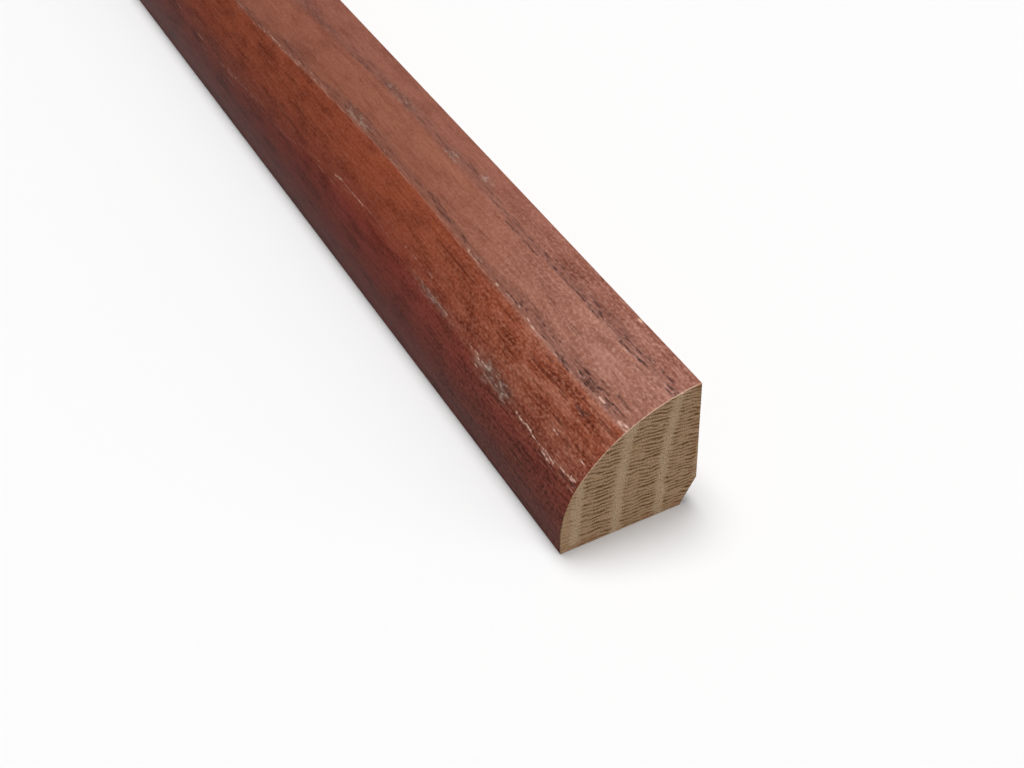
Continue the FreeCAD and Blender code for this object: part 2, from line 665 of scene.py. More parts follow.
@dataclass
class OpenGrain:
    """The open vessels that the moulded face cuts along its growth rings, as grooves in the mesh.

    Attributes:
        grain: Where the rings lie.
        runs: The runs of vessels of each ring.
        seed: Seed of the vessels' sizes.
        shortest: Shortest vessel.
        longest: Longest vessel.
        narrowest: Half width of the narrowest vessel.
        widest: Half width of the widest vessel.
        row_gap: Girth from one row of a run to the next.
        wander: How far a vessel strays from its row.
        faintest: Strength of the faintest vessel of a run.
        deepest: Depth of the deepest groove.
        dry_depth: How deep dry vessels are beside dark ones.
        least_stride: Least distance from one vessel of a row to the next, in lengths of the first.
        most_stride: Greatest such distance.
    """

    grain: Grain
    runs: dict[Ring, Sequence[VesselRun]]
    seed: int = 7
    shortest: float = 0.6
    longest: float = 2.2
    narrowest: float = 0.08
    widest: float = 0.16
    row_gap: float = 0.26
    wander: float = 0.09
    faintest: float = 0.55
    deepest: float = 0.045
    dry_depth: float = 0.5
    least_stride: float = 0.8
    most_stride: float = 1.2

    def paint(self, outline: Outline, along: np.ndarray) -> tuple[np.ndarray, dict[Fill, np.ndarray]]:
        """Cuts the vessels into a grid of the moulded face.

        Args:
            outline: The section's samples.
            along: The stations' distances from the near end.

        Returns:
            Depth of the grooves, and how open the vessels of each fill are, by station and outline point.
        """
        draw = np.random.default_rng(self.seed)
        openness = {fill: np.zeros((len(along), len(outline.girth))) for fill in Fill}
        for ring, runs in self.runs.items():
            line = self.line_girth(ring, outline, along)
            for run in runs:
                field = openness[run.fill]
                for start, length, lift, width, strength in self.vessels(run, draw):
                    rows = np.flatnonzero((along > start) & (along < start + length))
                    share = (along[rows] - start) / length
                    swell = np.sqrt(1 - (2 * share - 1) ** 2)
                    away = (outline.girth[None, :] - line[rows, None] - lift) / width
                    shape = np.exp(-away**2) * swell[:, None] * outline.on_face * strength
                    field[rows] = np.maximum(field[rows], shape)
        depth = self.deepest * np.maximum(openness[Fill.DARK], openness[Fill.DRY] * self.dry_depth)
        return depth, openness

    def vessels(self, run: VesselRun,
                draw: np.random.Generator) -> Iterator[tuple[float, float, float, float, float]]:
        """The vessels of a run, row by row.

        Args:
            run: The run.
            draw: The random numbers.

        Yields:
            Start, length, girth above the ring's line, half width and strength of each vessel.
        """
        for row in range(run.rows):
            start = run.first - draw.uniform(0, self.shortest)
            while start < run.last - self.shortest:
                length = draw.uniform(self.shortest, self.longest) * run.fill.stretch
                length = min(length, run.last - start)
                lift = run.lift + (row - (run.rows - 1) / 2) * self.row_gap + draw.normal(0, self.wander)
                width = draw.uniform(self.narrowest, self.widest) * run.fill.breadth
                yield start, length, lift, width, run.strength * draw.uniform(self.faintest, 1.0)
                start += length * draw.uniform(self.least_stride, self.most_stride)

    def line_girth(self, ring: Ring, outline: Outline, along: np.ndarray) -> np.ndarray:
        """Where a ring's line crosses the moulded face.

        Args:
            ring: The ring.
            outline: The section's samples.
            along: The stations' distances from the near end.

        Returns:
            The line's girth at every station.
        """
        face = outline.points[outline.on_face]
        girth = outline.girth[outline.on_face]
        place = self.grain.ring_place(face[None, :, 0], along[:, None], face[None, :, 1], np.cos)
        goal = self.grain.line(ring)
        return np.array([np.interp(goal, *self.rising(row, girth)) for row in place])

    @staticmethod
    def rising(place: np.ndarray, girth: np.ndarray) -> tuple[np.ndarray, np.ndarray]:
        """Cuts off the lip, where the ring distance falls before it rises."""
        first = int(np.argmin(place))
        return place[first:], girth[first:]


@dataclass
class Stations:
    """Places along the stock where the section is repeated, in millimetres from the near end."""

    length: float
    close_reach: float = 32.0
    close_step: float = 0.4
    fine_reach: float = 114.0
    fine_step: float = 0.8
    growth: float = 1.16
    longest_step: float = 55.0
    rim_steps: tuple[float, ...] = (0.0, 0.08, 0.18, 0.32, 0.55)

    def places(self) -> np.ndarray:
        """Close stations near the photographed end, wider ones beyond, and close ones at the far rim."""
        close = np.arange(self.rim_steps[-1] + self.close_step, self.close_reach, self.close_step)
        fine = np.arange(self.close_reach, self.fine_reach, self.fine_step)
        places = [*self.rim_steps, *close, *fine]
        step = self.fine_step
        while places[-1] + step < self.length - 2 * step:
            places.append(places[-1] + step)
            step = min(step * self.growth, self.longest_step)
        far_rim = [self.length - place for place in reversed(self.rim_steps)]
        return np.array([place for place in places if place < far_rim[0] - self.fine_step] + far_rim)


@dataclass(frozen=True)
class Lumps:
    """Size of a noise whose lumps lie along the stock, in millimetres.

    Attributes:
        thick: Size of the largest lumps in the section.
        long: Their size along the stock.
        detail: How many finer layers there are.
        roughness: How strong each finer layer is.
    """

    thick: float
    long: float
    detail: float = 2.0
    roughness: float = 0.5


@dataclass(frozen=True)
class RayLumps:
    """Size of a noise that follows the rings and the rays that cross them, in lumps for each millimetre.

    Attributes:
        ring_rate: Square to the rings.
        ray_rate: Along the rings.
        detail: How many finer layers there are.
        along_rate: Along the stock.
    """

    ring_rate: float
    ray_rate: float
    detail: float = 1.0
    along_rate: float = 0.05


@dataclass(frozen=True)
class WoodPlace:
    """Where a point of the oak lies, as wires in millimetres.

    Attributes:
        graph: The graph that the wires belong to.
        grain: Where the rings lie.
        across: Distance from the toe.
        along: Distance from the near end.
        up: Height above the base.
        ring: Distance square to the rings.
        past_line: Distance past the nearest ring's line, negative before it.
        ray: Distance along the rings in the section.
    """

    graph: NodeGraph
    grain: Grain
    across: Wire
    along: Wire
    up: Wire
    ring: Wire
    past_line: Wire
    ray: Wire

    @classmethod
    def read(cls, graph: NodeGraph, grain: Grain, section: Section, length: float) -> "WoodPlace":
        """Works the place out from the object's own coordinates.

        Args:
            graph: The graph to add to.
            grain: Where the rings lie.
            section: The section's sizes.
            length: Length of the stock in millimetres.

        Returns:
            The place.
        """
        point = graph.wire("ShaderNodeTexCoord", output="Object")
        split = graph.node("ShaderNodeSeparateXYZ", None, {0: point})
        across = Wire(graph, split.outputs[0]) / MM + section.width / 2
        along = Wire(graph, split.outputs[1]) / MM + length / 2
        up = Wire(graph, split.outputs[2]) / MM
        ring = grain.ring_place(across, along, up, Wire.cosine)
        phase = ((ring - grain.first_line) / grain.ring_width + 0.5).part()
        past_line = (phase - 0.5) * grain.ring_width
        return cls(graph, grain, across, along, up, ring, past_line, grain.ray_place(across, up))

    def scaled(self, thick: float, long: float) -> Wire:
        """The place as a vector, in units of one size in the section and one along the stock."""
        return self.graph.point(self.across / thick, self.along / long, self.up / thick)

    def lumps(self, size: Lumps) -> Wire:
        """Noise of 0 to 1 whose lumps lie along the stock."""
        return self.graph.noise(self.scaled(size.thick, size.long), size.detail, size.roughness)

    def ray_lumps(self, size: RayLumps) -> Wire:
        """Noise of 0 to 1 that follows the rings and the rays that cross them."""
        rated = (self.ring * size.ring_rate, self.along * size.along_rate, self.ray * size.ray_rate)
        return self.graph.noise(self.graph.point(*rated), size.detail)

    def beside(self, ring: Ring, ramp: Ramp) -> Wire:
        """A value that changes with the distance past one ring's line."""
        return self.ring.ramp(ramp.moved(self.grain.line(ring)))


@dataclass(frozen=True)
class Vessels:
    """Vessels of the oak, as spindles that lie along the stock, in millimetres.

    Attributes:
        thick: Spacing of the vessels in the section.
        long: Their spacing along the stock.
        wall: From outside a vessel to inside, in shares of the spacing.
    """

    thick: float
    long: float
    wall: Ramp = Ramp(0.44, 0.28)

    def cells(self, place: WoodPlace) -> tuple[Wire, Wire]:
        """Spreads the vessels through the stock.

        Args:
            place: Where the point lies.

        Returns:
            1 inside a vessel and 0 outside, and a chance of 0 to 1 for each vessel.
        """
        graph = place.graph
        cells = graph.node("ShaderNodeTexVoronoi", {"voronoi_dimensions": "3D"},
                           {"Vector": place.scaled(self.thick, self.long), "Scale": 1.0, "Randomness": 1.0})
        chance = graph.wire("ShaderNodeSeparateXYZ", None, {0: Wire(graph, cells.outputs["Color"])})
        return Wire(graph, cells.outputs["Distance"]).ramp(self.wall), chance


@dataclass(frozen=True)
class SkinNoise:
    """Wires that the layers of the stained face share.

    Attributes:
        fibre: Noise of the fine fibres.
        grit: Noise of the grit.
        crown: 1 on the crown's rings, 0 below them.
    """

    fibre: Wire
    grit: Wire
    crown: Wire


@dataclass(frozen=True)
class RingTones:
    """Display colours that the stain takes on each growth ring, and how they meet. The crown and top tones are
    the stain lightened by a painted sheen of the lacquer, weaker on the top.
    """

    toe: Colour = (151, 68, 57)
    middle: Colour = (159, 80, 54)
    # painted sheen: the crown tone is the stain lightened by a painted sheen of the lacquer
    crown: Colour = (160, 98, 77)
    # painted sheen: the top tone is the stain lightened by a weaker painted sheen
    top: Colour = (153, 95, 78)
    fray: Lumps = Lumps(0.3, 5.0, 3.0)
    fray_reach: float = 0.45
    toe_edge: Ramp = Ramp(-0.8, 0.2, 0.0, 0.6)
    toe_fade: Ramp = Ramp(0.0, 2.5, 0.0, 0.4)
    upper_edge: Ramp = Ramp(-0.45, -0.2)

    def paint(self, place: WoodPlace) -> Wire:
        """Colours the rings.

        Args:
            place: Where the point lies.

        Returns:
            The stain's colour without fibres or vessels, with painted sheen in the crown and top tones.
        """
        graph, grain = place.graph, place.grain
        frayed = place.ring + place.lumps(self.fray).shift(self.fray_reach)
        edge = self.toe_edge.moved(grain.line(Ring.TOE))
        above_toe = frayed.ramp(edge) + place.beside(Ring.TOE, self.toe_fade)
        tone = graph.blend(above_toe, self.toe, self.middle)
        # the crown and top tones laid here carry painted sheen
        for ring, ring_tone in ((Ring.CROWN, self.crown), (Ring.TOP, self.top)):
            edge = self.upper_edge.moved(grain.line(ring))
            tone = graph.blend(frayed.ramp(edge), tone, ring_tone)
        return tone


@dataclass(frozen=True)
class Layer:
    """One layer of lumps on the stained face.

    Attributes:
        shown: From values of the noise that don't show to values that do.
        near: Strength near the sawn end.
        beyond: Strength far from it.
    """

    shown: Ramp
    near: float
    beyond: float

    def strength(self, noise: Wire, near: Wire) -> Wire:
        """How strongly the layer shows, where near is 1 at the sawn end and 0 far from it."""
        return noise.ramp(self.shown) * (near * (self.near - self.beyond) + self.beyond)


@dataclass(frozen=True)
class FibreLook:
    """Dark and pale fibres, grit and broad patches of the stain, with their display colours. The pale grit
    specks are partly pale dust and partly painted highlights of the lacquer's fine relief.
    """

    dark: Colour = (90, 34, 21)
    # glow: pale colour of the crown's pale specks, which are partly painted highlights
    glow: Colour = (206, 146, 122)
    pale: Colour = (206, 156, 140)
    fine: Lumps = Lumps(0.26, 5.0)
    coarse: Lumps = Lumps(0.7, 16.0)
    grit: Lumps = Lumps(0.3, 0.6)
    patch: Lumps = Lumps(1.6, 7.0)
    near_end: Ramp = Ramp(60.0, 5.0)
    above_toe: Ramp = Ramp(-0.5, -0.15)
    top: Ramp = Ramp(-0.3, 0.6)
    dark_fine: Layer = Layer(Ramp(0.46, 0.72), near=0.43, beyond=0.15)
    dark_grit: Layer = Layer(Ramp(0.5, 0.3), near=0.54, beyond=0.18)
    dark_coarse: Layer = Layer(Ramp(0.46, 0.72), near=0.34, beyond=0.14)
    dark_patch: Ramp = Ramp(0.42, 0.7, 0.0, 0.32)
    dark_far: Ramp = Ramp(20.0, 110.0, 0.0, 0.25)
    crown_calm: float = 0.33
    toe_contrast: float = 1.3
    pale_fine: Layer = Layer(Ramp(0.5, 0.26), near=0.22, beyond=0.08)
    # pale grit: pale specks that are partly dust and partly painted highlights of the lacquer's fine relief
    pale_grit_and_highlight: Layer = Layer(Ramp(0.46, 0.74), near=0.45, beyond=0.09)
    toe_pale: float = 0.5
    crown_pale: float = 0.95
    dusty_patch: Ramp = Ramp(0.52, 0.32)
    patch_dust: float = 0.24
    crown_patch_loss: float = 0.11
    crown_dust: float = 0.13
    even_dust: float = 0.035
    top_dust_loss: float = 0.17
    red: Ramp = Ramp(0.05, 0.5, 0.0, 0.6)

    def paint(self, place: WoodPlace, skin: SkinNoise, colour: Wire) -> Wire:
        """Lays the fibres over the rings.

        Args:
            place: Where the point lies.
            skin: The face's shared wires.
            colour: The stain's colour.

        Returns:
            The colour with its fibres.
        """
        graph, crown = place.graph, skin.crown
        near = place.along.ramp(self.near_end)
        above_toe = place.beside(Ring.TOE, self.above_toe)
        top = place.beside(Ring.TOP, self.top)
        patch = place.lumps(self.patch)

        dark = self.dark_fine.strength(skin.fibre, near) + self.dark_grit.strength(skin.grit, near)
        dark = dark + self.dark_coarse.strength(place.lumps(self.coarse), near)
        dark = dark + patch.ramp(self.dark_patch) + place.along.ramp(self.dark_far)
        contrast = (1 - crown * self.crown_calm) * (self.toe_contrast - above_toe * (self.toe_contrast - 1))
        colour = graph.blend(dark * contrast, colour, self.dark)

        patchy = patch.ramp(self.dusty_patch) * (above_toe * self.patch_dust - crown * self.crown_patch_loss)
        dust = near * (crown * self.crown_dust + patchy + self.even_dust - top * self.top_dust_loss)
        # the pale grit adds painted highlights of the lacquer's fine relief along with pale dust
        pale = self.pale_fine.strength(skin.fibre, near) + self.pale_grit_and_highlight.strength(skin.grit, near)
        pale = pale * (above_toe * (1 - self.toe_pale) + self.toe_pale)
        pale = pale * (1 - crown * (1 - self.crown_pale))
        light = graph.blend(crown, self.glow, self.pale)
        colour = graph.blend(dust + pale, colour, light)
        return graph.blend(graph.field(Fill.RED.value).ramp(self.red), colour, self.dark)


@dataclass(frozen=True)
class SmudgeLook:
    """Grey smudges where the lacquer is rubbed, with their display colours."""

    grey: Colour = (126, 98, 86)
    pale: Colour = (212, 184, 168)
    lumps: Lumps = Lumps(0.55, 1.2, 3.0, 0.6)
    grey_shown: Ramp = Ramp(0.3, 0.55, 0.4, 1.0)
    pale_shown: Ramp = Ramp(0.5, 0.62)

    def paint(self, place: WoodPlace, colour: Wire) -> Wire:
        """Lays the smudges over the stain.

        Args:
            place: Where the point lies.
            colour: The stain's colour.

        Returns:
            The colour with its smudges.
        """
        graph = place.graph
        smoke = graph.field(Wear.SMOKE.value)
        lumps = place.lumps(self.lumps)
        colour = graph.blend(smoke * lumps.ramp(self.grey_shown), colour, self.grey)
        return graph.blend(smoke * lumps.ramp(self.pale_shown), colour, self.pale)


@dataclass(frozen=True)
class VesselLook:
    """Vessels that the moulded face cuts open, dark or dry, with a dull streak beside each ring's line and
    painted glints beside the dark vessels.
    """

    streak_tint: Colour = (124, 84, 74)
    open_vessel: Colour = (74, 42, 38)
    # pale colour of the dry vessels, also used for the painted glints
    dry_vessel_and_glint: Colour = (250, 204, 186)
    streak_lumps: Lumps = Lumps(9.0, 22.0)
    streak_reach: Ramp = Ramp(0.35, 0.65, 0.45, 1.45)
    streak_start: Ramp = Ramp(-0.25, 0.0)
    streak_end: Ramp = Ramp(1.15, 0.6)
    streak_share: Ramp = Ramp(-2.0, -1.0, 0.05, 0.29)
    dark_edge: Ramp = Ramp(0.0, 0.2, 0.0, 0.38)
    crowd: Vessels = Vessels(0.21, 4.0)
    crowd_chance: Ramp = Ramp(0.25, 0.35)
    crowd_share: Ramp = Ramp(-2.0, -1.0, 0.08, 0.43)
    crowd_beyond: Ramp = Ramp(102.0, 122.0, 0.0, 0.35)
    sparse_chance: Ramp = Ramp(0.97, 0.985, 0.0, 0.4)
    break_up: Lumps = Lumps(0.3, 1.1)
    unbroken: Ramp = Ramp(0.36, 0.56, 0.4, 1.0)
    dark_open: Ramp = Ramp(0.1, 0.6)
    dark_near: Ramp = Ramp(60.0, 15.0, 0.55, 0.95)
    slivers: Vessels = Vessels(0.19, 4.2)
    sliver_chance: Ramp = Ramp(0.7, 0.8)
    sliver_start: Ramp = Ramp(-0.55, -0.3)
    sliver_end: Ramp = Ramp(0.1, -0.15)
    sliver_rings: Ramp = Ramp(-1.0, -2.0)
    sliver_share: Ramp = Ramp(102.0, 122.0, 0.2, 0.3)
    dry_open: Ramp = Ramp(0.1, 0.5)
    dry_near: Ramp = Ramp(55.0, 20.0, 0.5, 1.0)
    beads: Lumps = Lumps(0.3, 0.45)
    beaded: Ramp = Ramp(0.38, 0.58, 0.25, 1.0)
    glint_edge: Ramp = Ramp(0.05, 0.35)
    glint_grit: Ramp = Ramp(0.56, 0.72)
    glint_near: Ramp = Ramp(30.0, 10.0, 0.0, 0.2)

    def paint(self, place: WoodPlace, skin: SkinNoise, colour: Wire) -> tuple[Wire, Wire]:
        """Cuts the vessels into the stain.

        Args:
            place: Where the point lies.
            skin: The face's shared wires.
            colour: The stain's colour.

        Returns:
            The colour with its vessels and painted glints, and how open the dark ones are.
        """
        graph, past, along = place.graph, place.past_line, place.along
        reach = place.lumps(self.streak_lumps).ramp(self.streak_reach)
        streak = past.ramp(self.streak_start) * (past / reach).ramp(self.streak_end)
        dark = graph.field(Fill.DARK.value)
        dull = (streak * place.beside(Ring.CROWN, self.streak_share)).most(dark.ramp(self.dark_edge))
        colour = graph.blend(dull, colour, self.streak_tint)

        vessel, chance = self.crowd.cells(place)
        share = place.beside(Ring.CROWN, self.crowd_share) + along.ramp(self.crowd_beyond)
        crowded = vessel * streak * chance.ramp(self.crowd_chance) * share
        sparse = vessel * chance.ramp(self.sparse_chance)
        unbroken = place.lumps(self.break_up).ramp(self.unbroken)
        placed = dark.ramp(self.dark_open) * unbroken * along.ramp(self.dark_near)
        cut = crowded.most(sparse).most(placed)
        colour = graph.blend(cut, colour, self.open_vessel)

        sliver, luck = self.slivers.cells(place)
        edge = past.ramp(self.sliver_start) * past.ramp(self.sliver_end)
        share = place.beside(Ring.TOP, self.sliver_rings) * along.ramp(self.sliver_share)
        slivers = sliver * edge * luck.ramp(self.sliver_chance) * share
        beaded = place.lumps(self.beads).ramp(self.beaded)
        dried = graph.field(Fill.DRY.value).ramp(self.dry_open) * along.ramp(self.dry_near) * beaded
        # glints: painted highlights beside the dark vessels near the sawn end
        glints = dark.ramp(self.glint_edge) * skin.grit.ramp(self.glint_grit) * along.ramp(self.glint_near)
        return graph.blend(slivers.most(dried).most(glints), colour, self.dry_vessel_and_glint), cut


@dataclass(frozen=True)
class RawOak:
    """The bare oak of the sawn ends, the back, the heel and the base, with its display colours."""

    early: Colour = (222, 190, 154)
    late: Colour = (208, 170, 133)
    dark: Colour = (104, 70, 38)
    pale: Colour = (244, 216, 178)
    wash: Colour = (160, 98, 62)
    band_shift: float = -0.3
    band_fray: Lumps = Lumps(0.6, 6.0, 3.0, 0.65)
    fray_reach: float = 1.2
    band_wobble: RayLumps = RayLumps(0.0, 0.3)
    band_teeth: RayLumps = RayLumps(0.3, 1.5)
    tooth_reach: float = 0.9
    band_start: Ramp = Ramp(-0.9, -0.05)
    band_end: Ramp = Ramp(1.1, 0.45)
    flame_gap: float = 0.63
    flame_curl: RayLumps = RayLumps(0.5, 0.6)
    curl_reach: float = 1.1
    flame_hook: RayLumps = RayLumps(1.2, 0.9)
    hook_reach: float = 0.15
    flame_core: Ramp = Ramp(-0.9, 0.9)
    flame_patch: RayLumps = RayLumps(0.5, 1.2, 2.0)
    patch_shown: Ramp = Ramp(0.25, 0.6)
    band_clear: float = 0.9
    flame_before: Ramp = Ramp(-0.5, -2.2, 0.7, 1.0)
    flame_after: Ramp = Ramp(3.0, 0.9)
    flame_toe: Ramp = Ramp(-0.5, 0.5, 0.4, 1.0)
    flame_share: float = 0.95
    flame_depth: float = 0.05
    speckle: Lumps = Lumps(0.16, 12.0, 2.0, 0.6)
    speckle_dark: Ramp = Ramp(0.52, 0.25, 0.0, 0.9)
    speckle_pale: Ramp = Ramp(0.5, 0.75, 0.0, 0.7)
    speckle_height: float = 0.4
    pores: Vessels = Vessels(0.24, 6.0)
    pore_share: float = 0.25
    pore_depth: float = 0.4
    wash_back: Ramp = Ramp(1.6, 0.1)
    wash_base: Ramp = Ramp(1.8, 0.1)
    wash_patch: Lumps = Lumps(1.4, 28.0)
    wash_shown: Ramp = Ramp(0.4, 0.65, 0.0, 0.5)
    end_fray: Lumps = Lumps(0.625, 0.625, 3.0)
    end_reach: float = 0.06
    end_edge: Ramp = Ramp(0.14, 0.09)
    side_edge: Ramp = Ramp(0.06, 0.02)

    def paint(self, place: WoodPlace, section: Section) -> tuple[Wire, Wire]:
        """Colours the bare wood.

        Args:
            place: Where the point lies.
            section: The section's sizes.

        Returns:
            Colour and height.
        """
        graph = place.graph
        past = place.past_line + self.band_shift + place.lumps(self.band_fray).shift(self.fray_reach)
        for teeth in (self.band_wobble, self.band_teeth):
            past = past + place.ray_lumps(teeth).shift(self.tooth_reach)
        band = past.ramp(self.band_start) * past.ramp(self.band_end)
        flame = self.flames(place, past, band)
        speckle = place.lumps(self.speckle)
        pore = self.pores.cells(place)[0] * band
        edge = (section.width - place.across).ramp(self.wash_back).most(place.up.ramp(self.wash_base))
        colour = graph.blend(band, self.late, self.early)
        for share, tint in (
            (flame * self.flame_share, self.dark),
            (speckle.ramp(self.speckle_dark), self.dark),
            (speckle.ramp(self.speckle_pale), self.pale),
            (pore * self.pore_share, self.dark),
            (edge * place.lumps(self.wash_patch).ramp(self.wash_shown), self.wash),
        ):
            colour = graph.blend(share, colour, tint)
        return colour, speckle * self.speckle_height - flame * self.flame_depth - pore * self.pore_depth

    def flames(self, place: WoodPlace, past: Wire, band: Wire) -> Wire:
        """Dark flames that cross the late wood between the bands.

        Args:
            place: Where the point lies.
            past: Frayed distance past the nearest ring's line.
            band: 1 on the bands of early wood.

        Returns:
            How dark the flames are, from 0 to 1.
        """
        curl = place.ray_lumps(self.flame_curl).shift(self.curl_reach)
        hook = place.ray_lumps(self.flame_hook).shift(self.hook_reach)
        waves = ((place.ray + curl + hook) * (2 * math.pi / self.flame_gap)).cosine()
        flame = waves.ramp(self.flame_core) * place.ray_lumps(self.flame_patch).ramp(self.patch_shown)
        flame = flame * (1 - band * self.band_clear)
        flame = flame * past.ramp(self.flame_before).most(past.ramp(self.flame_after))
        return flame * place.beside(Ring.TOE, self.flame_toe)

    def mask(self, place: WoodPlace, section: Section, length: float) -> Wire:
        """Where the wood is unstained: both sawn ends, the back, the heel and the base.

        Args:
            place: Where the point lies.
            section: The section's sizes.
            length: Length of the stock in millimetres.

        Returns:
            1 on bare wood, 0 under the stain.
        """
        fray = place.lumps(self.end_fray).shift(self.end_reach)
        bare = (length / 2 - abs(place.along - length / 2) + fray).ramp(self.end_edge)
        slant = math.atan2(section.heel_height, section.heel_width)
        heel_place = (place.across - section.width) * math.sin(slant) - place.up * math.cos(slant)
        heel_line = -section.heel_height * math.cos(slant)
        for depth in (section.width - place.across, place.up, heel_line - heel_place):
            bare = bare.most(depth.ramp(self.side_edge))
        return bare


@dataclass(frozen=True)
class OakFinish:
    """The oak as one solid texture: stain and lacquer on the moulded face, bare wood elsewhere."""

    tones: RingTones = RingTones()
    fibres: FibreLook = FibreLook()
    smudges: SmudgeLook = SmudgeLook()
    vessels: VesselLook = VesselLook()
    raw: RawOak = RawOak()
    rim: Colour = (216, 176, 152)
    rim_shown: Ramp = Ramp(0.3, 0.8)
    crown_edge: Ramp = Ramp(-0.5, -0.2)
    wear_fray: Lumps = Lumps(0.25, 4.0, 3.0)
    wear_reach: float = 0.9
    wear_edge: Ramp = Ramp(0.3, 0.6)
    wear_start: Ramp = Ramp(0.05, 0.2)
    fibre_height: float = 0.3
    grit_height: float = 0.3
    vessel_depth: float = 0.8
    face_roughness: float = 0.45
    raw_roughness: float = 0.85
    specular_level: float = 0.04
    coat_weight: float = 0.035
    crown_coat: float = 0.18
    coat_roughness: float = 0.36
    bump_depth: float = 0.05 * MM

    def material(self, grain: Grain, section: Section, length: float) -> bpy.types.Material:
        """Builds the oak with its finish.

        Args:
            grain: Where the rings lie.
            section: The section's sizes.
            length: Length of the stock in millimetres.

        Returns:
            The material.
        """
        material = bpy.data.materials.new("stained_oak_finish")
        material.use_nodes = True
        graph = NodeGraph(material.node_tree)
        place = WoodPlace.read(graph, grain, section, length)
        crown = place.beside(Ring.CROWN, self.crown_edge)
        skin = SkinNoise(place.lumps(self.fibres.fine), place.lumps(self.fibres.grit), crown)

        stain, stain_height = self.stained(place, skin)
        raw, raw_height = self.raw.paint(place, section)
        bare = graph.field(Wear.BARE.value)
        worn = (bare + place.lumps(self.wear_fray).shift(self.wear_reach)).ramp(self.wear_edge)
        raw_share = self.raw.mask(place, section, length).most(worn * bare.ramp(self.wear_start))
        raw = graph.blend(bare.ramp(self.rim_shown), raw, self.rim)
        height = stain_height * (1 - raw_share) + raw_height * raw_share
        bump = graph.wire("ShaderNodeBump", None,
                          {"Strength": 1.0, "Distance": self.bump_depth, "Height": height})
        shader = graph.wire("ShaderNodeBsdfPrincipled", None, {
            "Base Color": graph.blend(raw_share, stain, raw),
            "Roughness": raw_share * (self.raw_roughness - self.face_roughness) + self.face_roughness,
            "Specular IOR Level": self.specular_level,
            "Coat Weight": (1 - raw_share) * (crown * self.crown_coat + self.coat_weight),
            "Coat Roughness": self.coat_roughness,
            "Normal": bump,
        })
        graph.node("ShaderNodeOutputMaterial", None, {"Surface": shader})
        return material

    def stained(self, place: WoodPlace, skin: SkinNoise) -> tuple[Wire, Wire]:
        """The stained and lacquered face.

        Args:
            place: Where the point lies.
            skin: The face's shared wires.

        Returns:
            Colour and height.
        """
        colour = self.fibres.paint(place, skin, self.tones.paint(place))
        colour, cut = self.vessels.paint(place, skin, self.smudges.paint(place, colour))
        height = skin.fibre * self.fibre_height + skin.grit * self.grit_height - cut * self.vessel_depth
        return colour, height


class End(Enum):
    """The stock's two sawn ends, by the way they face along it."""

    NEAR = -1
    FAR = 1


@dataclass(frozen=True)
class FlatLayout:
    """How the stock's skin lies on the square of its flat map, as shares of its side.

    The photographed stretch lies along the bottom, the rest in strips above it, and the ends on top.
    """

    name: str = "OFBake"
    margin: float = 0.005
    near_height: float = 0.40
    strips: int = 3
    strip_height: float = 0.10
    end_side: float = 0.28

    def body(self, along: np.ndarray, girth: np.ndarray, fine_reach: float) -> np.ndarray:
        """Places of the skin's faces.

        Args:
            along: The stations' distances from the near end.
            girth: Girth of each outline line, with the seam's end last.
            fine_reach: Where the photographed stretch stops.

        Returns:
            Corner places by station face, outline face and corner.
        """
        cut = int(np.searchsorted(along, fine_reach))
        goals = np.linspace(along[cut], along[-1], self.strips + 1)[1:-1]
        cuts = [0, cut, *np.searchsorted(along, goals), len(along) - 1]
        heights = [self.near_height] + [self.strip_height] * self.strips
        places = np.zeros((len(along) - 1, len(girth) - 1, 4, 2))
        low = self.margin
        for first, last, height in zip(cuts[:-1], cuts[1:], heights):
            span = along[first:last + 1]
            u = self.margin + (span - span[0]) / (span[-1] - span[0]) * (1 - 2 * self.margin)
            v = low + girth / girth[-1] * (height - 2 * self.margin)
            for corner, (station, line) in enumerate(((0, 0), (0, 1), (1, 1), (1, 0))):
                rows = u[station:len(u) - 1 + station]
                columns = v[line:len(v) - 1 + line]
                places[first:last, :, corner, 0] = rows[:, None]
                places[first:last, :, corner, 1] = columns[None, :]
            low += height
        return places

    def end(self, points: np.ndarray, end: End) -> np.ndarray:
        """Places of a sawn end's points.

        Args:
            points: Distances from toe and base, in millimetres.
            end: Which end.

        Returns:
            A place for each point.
        """
        low = np.array([self.margin, self.near_height + self.strips * self.strip_height + self.margin])
        if end is End.FAR:
            low[0] += self.end_side + self.margin
        return low + points / points.max() * (self.end_side - 2 * self.margin)


